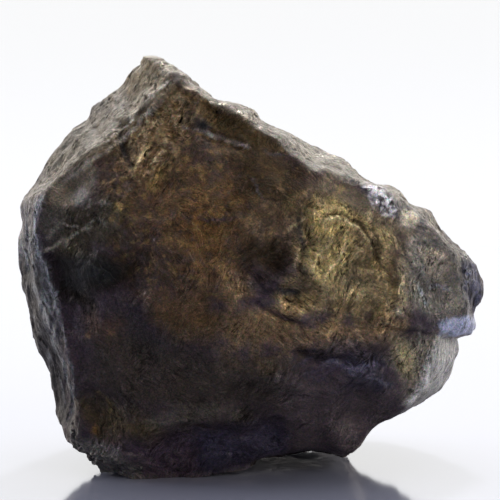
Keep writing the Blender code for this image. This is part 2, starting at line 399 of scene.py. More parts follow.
# %% Find the rough and the calm zones
FELT = [(296, 206), (325, 190), (345, 192), (365, 205), (385, 222), (402, 240), (408, 262),
        (408, 300), (398, 322), (370, 325), (345, 318), (310, 322), (285, 312), (272, 298),
        (292, 286), (302, 270), (300, 250), (308, 232)]
FLAKY = [(178, 90), (192, 112), (188, 130), (175, 150), (165, 172), (140, 185), (130, 165),
         (122, 145), (142, 122), (165, 100)]
SMOOTH_LOW = [(285, 380), (320, 372), (370, 384), (425, 380), (425, 400), (365, 430), (350, 455),
              (288, 455), (280, 420)]
WINDOW = [(54, 178), (90, 162), (98, 170), (93, 192), (72, 209), (52, 204)]
OLIVE_PATCH = [(148, 300), (170, 292), (205, 296), (218, 318), (208, 340), (175, 338), (150, 322)]
MIDDLE = [(120, 312), (150, 330), (210, 345), (300, 355), (290, 410), (230, 415), (150, 420),
          (90, 400), (75, 330)]
CENTRE = [(150, 180), (200, 150), (262, 155), (300, 180), (295, 220), (250, 240), (225, 270),
          (170, 285), (140, 250)]
DARK_HOLLOW = [(55, 250), (78, 244), (102, 243), (128, 250), (145, 266), (140, 290), (112, 302),
               (70, 306), (53, 288)]
LAMELLA = [(437, 334), (475, 335), (470, 362), (448, 395), (412, 414), (406, 403), (416, 380),
           (426, 355)]
SMOOTH_TOP = [(322, 170), (350, 184), (375, 204), (400, 221), (416, 230), (406, 239), (385, 229),
              (362, 216), (340, 201), (316, 188)]
LEDGE_FACE = [(438, 323), (450, 318), (480, 314), (480, 334), (438, 335)]
BEIGE = [(396, 213), (404, 210), (413, 213), (417, 220), (411, 227), (401, 226)]
RIM = [(72, 425), (90, 440), (115, 452), (140, 462), (140, 480), (90, 480), (60, 440)]

felt = inside(FELT, 0.8) * (1 - inside(SMOOTH_TOP, 0.2))
flaky = inside(FLAKY, 0.6)
rim = inside(RIM, 0.4)
calm = np.maximum.reduce([
    inside(SMOOTH_LOW, 0.8), inside(WINDOW, 0.15), inside(BEIGE, 0.3),
    inside(OLIVE_PATCH, 0.5) * 0.8, inside(MIDDLE, 1.2) * 0.6, inside(CENTRE, 1.2) * 0.9,
    inside(DARK_HOLLOW, 0.8) * 0.7, inside(LAMELLA, 0.3), inside(SMOOTH_TOP, 0.2) * 0.9,
    inside(LEDGE_FACE, 0.2),
])
resting = np.clip((0.5 - points[:, 2]) / 0.3, 0, 1) * (facing[:, 2] < -0.5)
free = (1 - resting) * (1 - 0.85 * calm)
print("calm points:", int((calm > 0.5).sum()), "resting points:", int((resting > 0.5).sum()))

# %% [markdown]
# ## Flake edges
#
# Between the large marks hundreds of small flakes are missing. A missing flake leaves a low
# curved cliff on one side, and the ground behind the cliff slopes back down. Each one is placed
# and turned at random on the skin, small ones far more often than large ones.

# %% Cut the flake edges
SCARPS = 620
SCARP_LENGTH = (0.35, 3.0)  # mm
SCARP_SLOPE = 0.055  # height for each mm of length
CLIFF_WIDTH = 0.16  # mm
SCARP_FADE = 0.45  # how far the ground behind it slopes, for each mm of length


def scarp(centre, normal, turn, length, height, bow):
    """The height that one flake edge adds, and the points it adds it to."""
    run = np.cross(normal, (0.31, 0.52, 0.79))
    run /= np.linalg.norm(run)
    rise = np.cross(normal, run)
    run, rise = (run * math.cos(turn) + rise * math.sin(turn),
                 rise * math.cos(turn) - run * math.sin(turn))
    near = np.flatnonzero(((ragged - centre) ** 2).sum(axis=1) < (2.0 * length) ** 2)
    offset = ragged[near] - centre
    s, q = offset @ run / length, offset @ rise / length
    q = q - bow * s**2
    rise_now = np.clip(q * length / CLIFF_WIDTH + 0.5, 0, 1)
    height = height * rise_now * np.exp(-np.maximum(q, 0) / SCARP_FADE) * np.clip(1 - s**2, 0, 1)
    return near, height * np.clip(facing[near] @ normal * 1.5 - 0.3, 0, 1)


out = np.zeros(count)
for picked in chance.integers(0, count, SCARPS):
    length = SCARP_LENGTH[0] * (SCARP_LENGTH[1] / SCARP_LENGTH[0]) ** (chance.random() ** 1.6)
    near, height = scarp(ragged[picked], facing[picked], chance.uniform(0, 2 * math.pi), length,
                         SCARP_SLOPE * length * chance.uniform(0.5, 1.3),
                         chance.uniform(-0.6, 0.6))
    out[near] += height * chance.choice((1, -1), p=(0.4, 0.6))
points += facing * (out * free)[:, None]
facing = normals_now()
print("flake edges (mm):", round(out.min(), 2), "to", round(out.max(), 2))

# %% [markdown]
# ## Which way the break runs
#
# The crystal grew in long fibres, and the fine marks of the break follow them. They run along
# three directions, and zones and slow noise choose between those: upright on the end faces, and
# on a slant one way or the other everywhere else.

# %% Choose the directions
DIRECTIONS = {
    "slant": (0.50, 0.10, 0.86),
    "counter": (0.78, 0.05, -0.62),
    "upright": (0.06, 0.12, 0.99),
}
LEFT_SIDE = [(46, 180), (45, 200), (36, 230), (40, 248), (46, 265), (53, 284), (60, 302),
             (62, 330), (62, 350), (66, 400), (72, 432), (50, 400), (10, 320), (10, 200)]
STRIPED = [(398, 336), (440, 336), (434, 360), (421, 396), (408, 402), (402, 380), (392, 360)]

slow = np.array([noise.noise(Vector(place) / 3.2) for place in points])
patchy = np.array([noise.fractal(Vector(place) / 1.4 + Vector((9, 0, 0)), 0.8, 2.0, 4)
                   for place in points])
end_face = np.clip((np.abs(facing[:, 0]) - 0.55) / 0.25, 0, 1)
end_face = np.maximum.reduce([end_face, inside(LEFT_SIDE, 0.3), inside(LAMELLA, 0.3),
                              inside(STRIPED, 0.3)])
top_face = np.clip((facing[:, 2] - 0.45) / 0.3, 0, 1)
upright = np.clip(end_face * 4 - 1.5 + patchy, 0, 1)
slant = (1 - upright) * np.clip(0.6 + (slow * 2.5 + patchy * 1.2 - top_face) * 5 + felt * 2, 0, 1)
grains = {"slant": slant, "counter": 1 - upright - slant, "upright": upright}
print("share of each:", {name: round(float(share.mean()), 2) for name, share in grains.items()})

# %% [markdown]
# ## Facets and ribs
#
# A closer look shows that the break is shattered into small flat facets, long and narrow, each
# tilted its own way, with low cliffs between them. Noise cells give those: every cell has its
# own random slope. Squeezing the space the cells are read in stretches them along a direction.
# On the end faces the crystal's growth shows as upright ribs.

# %% Facet and rib the skin
FACETS = ((1.9, 0.045, 1.6), (0.65, 0.060, 2.8))  # width (mm), slope and stretch of each kind
RIB_HEIGHT = 0.11  # mm
RIB_SPACING = 0.7  # mm
RIB_STRETCH = 9  # how many times longer than wide


def stretched(places, direction, ratio):
    """The places with the space squeezed along a direction, which stretches what is drawn."""
    direction = np.array(direction) / np.linalg.norm(direction)
    return places - direction * (places @ direction)[:, None] * (1 - 1 / ratio)


def facets(places, width, slope):
    """The height of flat facets, each in its own noise cell and tilted its own way."""
    heights = np.empty(len(places))
    for index, place in enumerate(places):
        cell = noise.voronoi(Vector(place) / width)[1][0]
        tilt = noise.cell_vector(cell * 31.7) - Vector((0.5, 0.5, 0.5))
        heights[index] = (Vector(place) - cell * width).dot(tilt) * 2 * slope
    return heights


def folds(places, spacing):
    """Sharp-crested folds, about -0.5 to 0.5."""
    return np.array([noise.ridged_multi_fractal(Vector(place) / spacing, 0.9, 2.1, 3, 1.0, 2.0)
                     for place in places]) / 2.2 - 0.5


swirled = points + noise_at(points, 2.4, 0.7) + noise_at(points, 0.6, 0.14)
out = np.zeros(count)
for width, slope, stretch in FACETS:
    for name, direction in DIRECTIONS.items():
        there = np.flatnonzero(grains[name] > 0.02)
        out[there] += grains[name][there] * facets(
            stretched(swirled[there], direction, stretch), width, slope)
out *= 1 - 0.5 * felt + 0.3 * flaky + 1.6 * rim
wavy = points + noise_at(points, 3.0, 0.3)
ribs = folds(stretched(wavy, DIRECTIONS["upright"], RIB_STRETCH), RIB_SPACING)
out += ribs * RIB_HEIGHT * end_face
points += facing * (out * free)[:, None]
facing = normals_now()
print("facets (mm):", round(out.min(), 2), "to", round(out.max(), 2))

# %% [markdown]
# ## The resting place
#
# The stone stands on a small worn flat, and round it the foot clears the table by a few tenths
# of a millimetre, unevenly. The marks so far have all moved the foot a little. So the flat is
# made flat again, the foot round it is lifted, and no point may end below the table or outside
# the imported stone's box.

# %% Seat the skin
SEAT = (132, 198)  # right in the picture: the worn flat runs between these
SEAT_LIFT = 0.5  # mm that the foot rises by, outside the flat
SEAT_HEIGHT = 1.6  # mm above the table at which that lift has died out
SEAT_BLEND = (30, 75)  # steps over which it grows, left and right of the flat
TEETH = (0.8, 0.12)  # how uneven the foot is, left and right of the flat

outside = np.clip((SEAT[0] - plain_right) / SEAT_BLEND[0], 0, 1)
outside += np.clip((plain_right - SEAT[1]) / SEAT_BLEND[1], 0, 1)
teeth = np.where(plain_right < SEAT[0], *TEETH)
lift = SEAT_LIFT * outside * np.clip(1 + noise_at(points, 0.5)[:, 0] * teeth, 0.4, 1.6)
points[resting > 0.5, 2] = 0.0
points[:, 2] += lift * np.clip(1 - points[:, 2] / SEAT_HEIGHT, 0, 1)
points[:, 2] = np.maximum(points[:, 2], 0.0)
low, high = (np.array(corner) / MM for corner in cad_box)
points = np.clip(points, low, high)
facing = normals_now()
print("skin box (mm):", points.min(axis=0).round(2), points.max(axis=0).round(2))

# %% [markdown]
# ## Where painted light and shade go
#
# Crests in broken crystal are thin, so light passes through them and they look paler, and
# hollows are dark. Both are painted into the colour further on, as painted highlight and painted
# shade. Comparing each point with a smoothed copy of the skin tells the two apart: a crest stands
# above its smoothed place, a hollow below it.

# %% Measure crests and hollows
pairs = np.empty(len(stone.data.edges) * 2, np.int32)
stone.data.edges.foreach_get("vertices", pairs)
ends_a, ends_b = pairs.reshape(-1, 2).T
neighbours = np.bincount(ends_a, minlength=count) + np.bincount(ends_b, minlength=count)


def smoothed(values, times):
    """Each point's value averaged with its neighbours' this many times."""
    for _ in range(times):
        total = np.bincount(ends_a, values[ends_b], count) + np.bincount(
            ends_b, values[ends_a], count)
        values = (values + total) / (neighbours + 1)
    return values


def crest_height(times):
    """How far each point stands out from a smoothed skin (mm)."""
    soft = np.stack([smoothed(points[:, axis], times) for axis in range(3)], axis=1)
    return ((points - soft) * facing).sum(axis=1)


fine_crest = crest_height(3)
broad_crest = crest_height(30)
print("crests stand out by up to", round(broad_crest.max(), 2), "mm, hollows are",
      round(-broad_crest.min(), 2), "mm deep")

# %% [markdown]
# ## Zones of the crystal
#
# Iolite shows another colour along each axis of the crystal, and this one is also stained. Its
# middle is amber brown, the felted break to the right of it is golden, the lower part is deep
# violet, and the top, the crown and the end faces are grey to beige. Some layers are painted
# light and shade instead: a pale sheen on what looks up, glints, highlights on thin edges, and the
# dark of hollows and cracks. Each zone is a layer laid over the ones before it, with a soft edge.
# Slow noise breaks up the zones' edges, and it alone decides the colours on the back.

# %% Colour helpers
def linear(hex_colour):
    """An sRGB hex colour as linear red, green and blue."""
    levels = [int(hex_colour[i:i + 2], 16) / 255 for i in (1, 3, 5)]
    return np.array([n / 12.92 if n <= 0.04045 else ((n + 0.055) / 1.055) ** 2.4 for n in levels])


front = seen * np.clip(-facing[:, 1] * 3, 0, 1)
tint = np.tile(linear("#403640"), (count, 1))


def lay(colour, amount):
    """Lays a colour over the skin, as strongly as amount says at each point."""
    amount = np.clip(amount, 0, 1)[:, None]
    tint[:] = tint * (1 - amount) + linear(colour) * amount


def torn(outline, soft, ragged=0.5):
    """A zone inside an outline, whose edge slow and fine noise tears."""
    zone = inside(outline, soft)
    return np.clip(zone + (patchy * 0.9 + slow * 0.4) * ragged * 4 * zone * (1 - zone), 0, 1)


print("ground colour:", tint[0].round(3))


# %% [markdown]
# Each zone is an outline of a few places in the picture. It needs no exact edge, because noise
# tears the edge when the zone is laid. The zones are laid from the large to the small, one part
# of the stone after another.
#
# The whole stone starts violet grey, with browner clouds, and greyer on its end faces. Then the
# middle of the broad face is laid: amber brown where the crystal is clearest, lighter there as a
# painted glow of the light that comes back out of it, mauve and plum where its own violet shows
# through the brown, and dark brown above the glow and to its right, with a dark valley, painted
# as shade, under the crown's step. Slow mottling gives the amber its cloudy look. Finer glints
# are painted: fine noise lightens or darkens small spots, as thin flakes that catch the light, or
# fall dark, between their neighbours.

# %% Lay the ground and the amber middle
BROWN = [(108, 155), (130, 125), (165, 98), (185, 98), (215, 108), (268, 138), (300, 168),
         (312, 200), (290, 235), (250, 270), (225, 300), (170, 300), (140, 285), (112, 262),
         (98, 225)]
MAUVE = [(150, 118), (190, 122), (225, 148), (240, 185), (212, 192), (165, 200), (140, 178)]
GLOW = [(170, 192), (200, 182), (226, 194), (232, 228), (218, 256), (186, 262), (166, 232)]
PLUM = [(112, 215), (150, 205), (178, 212), (182, 255), (150, 270), (122, 258)]
UPPER_BROWN = [(222, 132), (250, 128), (268, 138), (285, 152), (304, 172), (306, 208), (275, 222),
               (248, 205), (236, 180), (228, 152)]
EMBER = [(218, 192), (240, 190), (246, 210), (232, 220), (218, 210)]
DIAGONAL = [(300, 200), (300, 228), (270, 240), (246, 262), (226, 262), (232, 240), (240, 218),
            (262, 206)]
BLOCK = [(190, 100), (215, 108), (235, 118), (265, 135), (280, 152), (252, 150), (225, 141),
         (205, 132)]
VALLEY = [(177, 93), (184, 99), (192, 111), (200, 121), (209, 131), (200, 131), (190, 125),
          (183, 113)]

mottle = np.array([noise.fractal(Vector(place) / 0.9 + Vector((0, 5, 3)), 0.9, 2.0, 3)
                   for place in points])
glints = np.array([noise.fractal(Vector(place) / 0.36 + Vector((7, 0, 0)), 0.9, 2.0, 3)
                   for place in swirled])
lay("#2E2A38", 0.7 * np.clip(slow * 1.6 + 0.1, 0, 1))
lay("#5A5148", 0.5 * np.clip(-slow * 1.8, 0, 1) * (1 - front))
lay("#6E6A66", 0.6 * end_face * (1 - front))
lay("#584638", torn(BROWN, 1.4))
lay("#4A3E38", torn(MAUVE, 0.9) * 0.8)
# painted glow: the amber is lighter where light comes back out of the clear middle
lay("#7A5930", torn(GLOW, 1.6) * 0.8)
lay("#4C3A34", torn(PLUM, 1.0) * 0.7)
lay("#3A2E1E", torn(UPPER_BROWN, 0.9) * 0.9)
lay("#3A2612", torn(EMBER, 0.5) * 0.8)
amber = inside(BROWN, 0.8) * (1 - 0.7 * inside(UPPER_BROWN, 0.6))
lay("#785F3C", amber * np.clip(mottle * 5 - 0.6, 0, 1) * 0.35)
lay("#38301F", amber * np.clip(-mottle * 5 - 0.6, 0, 1) * 0.4)
# painted glints: fine noise lights up some spots and darkens others
lay("#9A7E50", amber * np.clip(glints * 6 - 1.9, 0, 1) * 0.5)
lay("#4A4244", amber * np.clip(-glints * 5 - 1.0, 0, 1) * 0.5)
lay("#382E26", torn(DIAGONAL, 0.8) * 0.65)
lay("#42351E", torn(BLOCK, 0.3) * 0.9)
# painted shade: the valley under the crown's step is laid dark
lay("#23262E", torn(VALLEY, 0.12, 0.3) * 0.9)
print("mean tint:", tint.mean(axis=0).round(3))

# %% [markdown]
# On the left a hollow is almost black, because little light comes back out of it. That darkness
# is painted shade. The break above it is a smooth olive grey.

# %% Lay the dark left
SLATE = [(68, 262), (84, 254), (112, 256), (122, 268), (114, 284), (86, 288), (70, 280)]
OLIVE_SHADE = [(50, 200), (80, 203), (108, 198), (128, 206), (122, 236), (104, 246), (64, 250),
               (52, 230)]

# painted shade: the hollow is laid almost black
lay("#120C04", torn(DARK_HOLLOW, 0.8) * 0.92)
lay("#25292C", torn(SLATE, 0.6) * 0.7)
lay("#464032", torn(OLIVE_SHADE, 0.6) * 0.9)
print("mean tint:", tint.mean(axis=0).round(3))

# %% [markdown]
# On the right the break is felted with golden shards. The larger shards are painted paler, as
# the highlights they catch, fine noise paints pale and dark glints over the felt, and the pits
# between the shards are painted nearly black, as their shade. Below them a band of duller gold
# runs out to the ledge.

# %% Lay the golden felt
SHARD_TOP = [(318, 206), (334, 196), (350, 212), (356, 228), (340, 234), (318, 228)]
SHARD_MIDDLE = [(300, 252), (322, 238), (346, 244), (352, 262), (340, 286), (308, 284)]
SWIRL = [(336, 272), (362, 264), (382, 282), (372, 302), (344, 302)]
SHARD_RIGHT = [(378, 232), (388, 226), (396, 240), (392, 254), (384, 248)]
DARK_WEDGE = [(370, 236), (378, 240), (386, 256), (382, 270), (374, 258)]
FELT_FOOT = [(390, 300), (404, 306), (412, 322), (396, 330), (372, 326), (386, 316)]
DARK_PIT = [(246, 246), (258, 238), (280, 240), (294, 252), (290, 270), (272, 278), (252, 268)]
GOLD_LOW = [(214, 322), (232, 300), (262, 296), (290, 302), (316, 318), (345, 320), (400, 325),
            (400, 345), (345, 342), (300, 350), (262, 356), (228, 350)]

lay("#86764E", torn(FELT, 0.9) * (0.8 + 0.5 * patchy))
# painted highlights: the larger shards are laid paler
lay("#AA9866", torn(SHARD_TOP, 0.3) * 0.7)
lay("#A69868", torn(SHARD_MIDDLE, 0.4) * 0.6)
lay("#5E5644", torn(SWIRL, 0.5) * 0.7)
lay("#A69668", torn(SHARD_RIGHT, 0.2) * 0.7)
lay("#30281C", torn(DARK_WEDGE, 0.2) * 0.7)
lay("#4A4044", torn(FELT_FOOT, 0.4) * 0.7)
# painted glints over the felt, pale and dark
lay("#BEAA84", felt * np.clip(glints * 5 - 1.3, 0, 1) * 0.35)
lay("#4A3C2A", felt * np.clip(-glints * 5 - 1.0, 0, 1) * 0.35)
# painted shade: the pit between the shards is laid nearly black
lay("#261C0A", torn(DARK_PIT, 0.5) * 0.85)
lay("#806A4C", torn(GOLD_LOW, 1.2, 1.2) * 0.85)
print("mean tint:", tint.mean(axis=0).round(3))

# %% [markdown]
# The lower part is dark and smoother, from brown through violet to indigo at the foot. A scar
# shows the pure violet of the crystal. The rim that it stands on is scuffed to grey.

# %% Lay the lower part
COPPER = [(88, 318), (108, 314), (122, 326), (112, 342), (90, 336)]
VIOLET_SCAR = [(318, 352), (350, 344), (385, 348), (398, 362), (388, 378), (350, 382), (322, 374)]
FOOT = [(105, 440), (150, 440), (195, 430), (200, 470), (150, 480), (105, 470)]
INDIGO = [(195, 428), (245, 430), (262, 420), (284, 424), (288, 458), (240, 468), (200, 468)]
MOSS = [(78, 398), (110, 405), (148, 420), (160, 432), (140, 442), (100, 436), (80, 420)]
PALE_BAND = [(150, 418), (170, 408), (200, 405), (232, 404), (236, 412), (205, 420), (175, 428),
             (155, 430)]

lay("#604B34", torn(OLIVE_PATCH, 0.6) * 0.9)
lay("#403A2F", torn(MIDDLE, 1.2) * 0.7)
lay("#5C463A", torn(COPPER, 0.5) * 0.7)
lay("#4E464A", torn(SMOOTH_LOW, 0.8) * 0.85)
lay("#272838", torn(VIOLET_SCAR, 1.0, 1.2) * 0.8)
lay("#4A3E4A", torn(FOOT, 0.5) * 0.8)
lay("#3E3C50", torn(INDIGO, 0.5) * 0.8)
lay("#54482A", torn(MOSS, 0.6) * 0.7)
lay("#6A665A", torn(PALE_BAND, 0.4) * 0.45)
lay("#6C6A64", torn(RIM, 0.4) * 0.75)
print("mean tint:", tint.mean(axis=0).round(3))

# %% [markdown]
# The crown is flaky and brown, with painted glints: pale highlights along the edges of its flakes
# and dark spots between them. To its left the shoulder turns grey, and the left end is a cool grey
# that gets darker downwards. One small facet there is smooth enough to look like a window.

# %% Lay the crown and the left end
CREST = [(176, 82), (192, 96), (186, 112), (165, 112), (140, 135), (120, 150), (105, 160),
         (98, 154), (140, 118), (163, 96)]
LEFT_CORNER = [(46, 178), (60, 172), (68, 200), (62, 232), (48, 246), (40, 228), (45, 200)]
PEAK = [(150, 50), (178, 85), (165, 98), (140, 122), (105, 153), (75, 170), (50, 185),
        (60, 150), (95, 100)]
KNOB = [(138, 56), (152, 50), (172, 70), (165, 92), (142, 96), (130, 80)]
SHOULDER = [(95, 97), (118, 90), (108, 112), (88, 130), (66, 142), (52, 148)]
MOSSY_BACK = [(48, 155), (66, 140), (90, 134), (82, 152), (56, 172), (44, 182)]
LEFT_LOW = [(14, 262), (40, 258), (52, 290), (62, 340), (70, 400), (74, 430), (50, 420), (20, 330)]

lay("#5A4A30", torn(CREST, 0.25) * 0.85)
lay("#5A564C", torn(LEFT_CORNER, 0.3) * 0.7)
lay("#7A6240", torn(FLAKY, 0.6) * 0.7)
# painted glints on the crown's flakes, pale highlights and dark spots
lay("#B8A682", flaky * np.clip(glints * 5 - 1.1, 0, 1) * 0.6)
lay("#3A3026", flaky * np.clip(-glints * 5 - 0.9, 0, 1) * 0.5)
lay("#463C2A", torn(PEAK, 0.4) * 0.85)
lay("#5E5440", torn(KNOB, 0.4) * 0.7)
lay("#383634", torn(SHOULDER, 0.3) * 0.9)
lay("#403E36", torn(MOSSY_BACK, 0.3) * 0.8)
lay("#746A5C", torn(WINDOW, 0.12, 0.3))
lay("#707074", torn(LEFT_SIDE, 0.25, 0.3) * 0.8)
lay("#1A1718", torn(LEFT_LOW, 0.4) * 0.9)
print("mean tint:", tint.mean(axis=0).round(3))

# %% [markdown]
# The stepped end is slate grey with a few brown and olive chips. Under its ledge hangs a slab,
# painted pale for the light that shines through it, and the ledge's face is a pale blue grey of
# painted sheen. The strip along the top ridge and everything that looks up get a painted pale grey
# sheen, strongest where the camera sees them edge on. At the top right a few crystal faces get
# painted sparkle, each nearly white or nearly black, and a smooth beige facet a painted highlight.

# %% Lay the stepped end and the worn top
RIGHT_SHOULDER = [(402, 232), (425, 226), (455, 240), (472, 262), (478, 300), (470, 316),
                  (436, 318), (412, 310), (402, 275)]
BROWN_CHIP = [(422, 252), (446, 248), (457, 266), (447, 285), (427, 278)]
RIGHT_SLATE = [(440, 232), (455, 240), (466, 254), (476, 262), (484, 280), (484, 296), (476, 312),
               (462, 306), (462, 280), (456, 262), (444, 250)]
BLUE_RIM = [(464, 262), (475, 262), (486, 290), (480, 312), (468, 312), (470, 290)]
OLIVE_STRIPE = [(394, 338), (404, 336), (412, 350), (410, 372), (402, 374), (396, 358)]
LAMELLA_RIGHT = [(446, 336), (466, 336), (464, 364), (450, 382), (440, 378)]
TOP_STRIP = [(176, 80), (197, 97), (206, 107), (222, 111), (236, 117), (247, 126), (260, 134),
             (276, 141), (287, 152), (297, 162), (312, 173), (345, 180), (378, 193), (402, 212),
             (430, 232), (440, 220), (380, 170), (300, 130), (200, 80)]
SPARKLE = [(362, 187), (380, 188), (398, 204), (395, 219), (382, 213), (368, 200)]
LENS_RING = [(395, 204), (418, 207), (428, 216), (422, 230), (400, 230), (392, 218)]

lay("#706E68", torn(RIGHT_SHOULDER, 0.6) * 0.9)
lay("#928878", torn(BROWN_CHIP, 0.3) * 0.7)
lay("#3E4250", torn(RIGHT_SLATE, 0.3) * 0.75)
lay("#565A70", torn(BLUE_RIM, 0.2) * 0.6)
lay("#7C766A", torn(STRIPED, 0.5) * 0.9)
lay("#A09470", torn(OLIVE_STRIPE, 0.3) * 0.8)
# painted light: the slab is laid pale for the light that shines through it
lay("#ACACA8", torn(LAMELLA, 0.2) * 0.95)
lay("#C0C0BE", torn(LAMELLA_RIGHT, 0.3, 0.2) * 0.7)
# painted sheen: the ledge's face is laid a pale blue grey
lay("#A6AECA", torn(LEDGE_FACE, 0.12) * 0.95)
# painted sheen along the top ridge
lay("#84817A", torn(TOP_STRIP, 0.12, 0.4) * 0.9)
# painted sheen: what looks up is laid pale grey, most where the camera sees it edge on
lay("#827F7A", np.clip(facing[:, 2] * 2.4 - 1.1 + patchy * 0.5, 0, 1)
    * np.clip(2.2 - 3 * towards_eye, 0, 1) * 0.8
    * (1 - 0.7 * inside(MOSSY_BACK, 0.3) - 0.5 * inside(SHOULDER, 0.3)))
lay("#6A6052", torn(SMOOTH_TOP, 0.2, 0.3) * 0.85)
lay("#8A8890", torn(SPARKLE, 0.2) * 0.8)
# painted sparkle: nearly white and nearly black glints
lay("#F8F8FF", torn(SPARKLE, 0.2) * np.clip(glints * 8 - 0.2, 0, 1))
lay("#1E1E24", torn(SPARKLE, 0.2) * np.clip(-glints * 6 - 0.9, 0, 1))
lay("#5E5C60", torn(LENS_RING, 0.2) * 0.8)
# the beige facet, laid pale with a painted highlight
lay("#CCC4B2", torn(BEIGE, 0.12))
print("mean tint:", tint.mean(axis=0).round(3))

# %% [markdown]
# Two more layers follow the shape: crests get a little paler, a painted highlight, and hollows
# darker, painted shade. Real crystal does that by itself, because a thin crest lets light through
# and a hollow traps it; here both are painted into the colour.

# %% Paint highlights on the crests and shade in the hollows
FINE_CREST = 0.06  # mm that a small crest stands out when it is at its palest
DEEP_HOLLOW = 0.22  # mm that a broad hollow lies in when it is at its darkest

# painted highlight on the small crests
lay("#A09A90", np.clip(fine_crest / FINE_CREST, 0, 1) * 0.12)
# painted shade in the broad hollows
lay("#15110F", np.clip(-broad_crest / DEEP_HOLLOW, 0, 1) * 0.45)
print("mean tint:", tint.mean(axis=0).round(3))

# %% [markdown]
# Thin lines and small spots come last: dark cracks, painted dark as their shade, pale edges
# painted where a thin flake lets the light through, and a few painted golden glints.

# %% Draw the lines and spots
def stroke(path, width):
    """A soft broken line along the path, this wide (mm)."""
    distance, _, gone = along(path)
    ends = np.clip(np.minimum(gone, 1 - gone) * 6 + 0.1, 0, 1)
    line = np.clip(1.4 - distance / width * 1.4, 0, 1)
    return line * ends * seen * np.clip(0.85 + 1.5 * patchy, 0.3, 1)


LINES = (
    ("#23272F", 0.26, [(119, 130), (121, 142), (125, 154), (130, 172)]),
    ("#7A7270", 0.08, [(182, 124), (192, 128), (202, 132), (212, 136)]),
    ("#BCB4B0", 0.08, [(204, 132), (213, 137), (224, 141), (236, 145), (250, 149)]),
    ("#A89C84", 0.12, [(176, 84), (167, 93), (158, 102), (149, 113), (142, 122), (134, 134)]),
    ("#2E2A26", 0.13, [(97, 168), (95, 182), (87, 197), (74, 208)]),
    ("#A8A290", 0.07, [(60, 224), (70, 225), (80, 225)]),
    ("#B8B29C", 0.07, [(94, 226), (84, 228), (76, 232), (70, 239), (66, 246)]),
    ("#A8A494", 0.12, [(43, 249), (51, 247), (58, 244), (65, 239)]),
    ("#A8A292", 0.10, [(46, 240), (52, 233), (59, 227)]),
    ("#6A5C3C", 0.14, [(96, 392), (104, 396), (110, 404), (108, 414)]),
    ("#2A2226", 0.14, [(138, 318), (160, 330), (190, 345), (215, 352)]),
    ("#5A5860", 0.12, [(264, 154), (280, 155), (297, 156)]),
    ("#6A6464", 0.10, [(232, 177), (246, 178), (257, 187), (266, 202)]),
    ("#C4B080", 0.16, [(131, 170), (142, 156), (154, 140), (166, 128)]),
    ("#B89C64", 0.14, [(150, 190), (157, 178), (166, 164)]),
    ("#A88C5C", 0.12, [(155, 190), (163, 177), (171, 166)]),
    ("#B4B8BC", 0.12, [(42, 197), (36, 225), (39, 250), (50, 280), (61, 302)]),
    ("#7E8084", 0.09, [(61, 302), (68, 345), (80, 400)]),
    ("#8C8E92", 0.10, [(30, 200), (29, 240), (36, 280), (48, 320), (58, 360)]),
    ("#A8A194", 0.14, [(178, 87), (166, 99), (141, 123), (106, 154), (78, 171), (52, 196)]),
    ("#1B212C", 0.30, [(244, 280), (256, 288), (285, 292), (318, 288)]),
    ("#2A2433", 0.20, [(256, 303), (275, 313), (292, 318), (303, 328)]),
    ("#463E42", 0.11, [(196, 214), (206, 220), (222, 222), (240, 216)]),
    ("#C0B48C", 0.10, [(286, 234), (295, 226), (305, 216)]),
    ("#20252C", 0.22, [(305, 206), (296, 218), (300, 236), (312, 262)]),
    ("#2A241A", 0.13, [(317, 218), (330, 215), (345, 215), (358, 222), (370, 238), (378, 258)]),
    ("#D2C29A", 0.12, [(318, 222), (332, 219), (346, 220), (356, 227), (366, 240)]),
    ("#C4B284", 0.12, [(304, 284), (312, 268), (322, 252), (332, 240)]),
    ("#C0AE84", 0.11, [(318, 288), (328, 270), (340, 254), (350, 244)]),
    ("#2A2218", 0.14, [(310, 240), (304, 254), (300, 270), (306, 284)]),
    ("#5C5A70", 0.16, [(310, 374), (330, 366), (355, 370), (382, 367)]),
    ("#1E1C28", 0.18, [(290, 350), (303, 351), (318, 349)]),
    ("#9AA4A8", 0.20, [(418, 286), (421, 296), (425, 306)]),
    ("#B0A078", 0.12, [(388, 300), (397, 304), (399, 314)]),
    ("#CCCCCA", 0.12, [(440, 336), (436, 350), (430, 368), (424, 384), (414, 400), (396, 408)]),
    ("#9A9890", 0.12, [(418, 326), (416, 342), (408, 352)]),
    ("#A8A090", 0.12, [(424, 262), (434, 255), (446, 258)]),
    ("#8C8E98", 0.12, [(428, 292), (440, 285), (453, 290)]),
    ("#3A2E28", 0.10, [(148, 432), (168, 425), (190, 424), (222, 430)]),
    ("#20222E", 0.20, [(446, 240), (454, 248), (459, 256)]),
    ("#1C1E2C", 0.22, [(470, 286), (473, 298), (474, 308)]),
)
SPOTS = (
    ("#A8905C", 0.22, (119, 207)), ("#947C4C", 0.18, (111, 218)), ("#94784A", 0.26, (158, 172)),
    ("#8C7448", 0.26, (150, 185)), ("#B8A070", 0.20, (340, 190)), ("#C8B88C", 0.16, (367, 214)),
    ("#D0C8B0", 0.16, (396, 309)), ("#94908E", 0.40, (79, 196)), ("#8A6A3C", 0.22, (95, 430)),
    ("#7C6248", 0.16, (88, 336)), ("#7C6248", 0.16, (112, 333)),
)
edge_on = np.clip((towards_eye - 0.06) / 0.1, 0, 1)  # keeps the lines off the stone's ends
# dark lines are painted shade in cracks, pale ones painted highlights on thin edges
for colour, width, path in LINES:
    lay(colour, stroke(path, width) * 0.85 * edge_on)
# most spots are painted golden glints
for colour, radius, (x, y) in SPOTS:
    away = np.hypot(right - x, down - y) / STEPS_PER_MM
    lay(colour, np.clip(1.5 - away / radius, 0, 1) * edge_on * 0.7)
print("lines and spots:", len(LINES), "and", len(SPOTS))

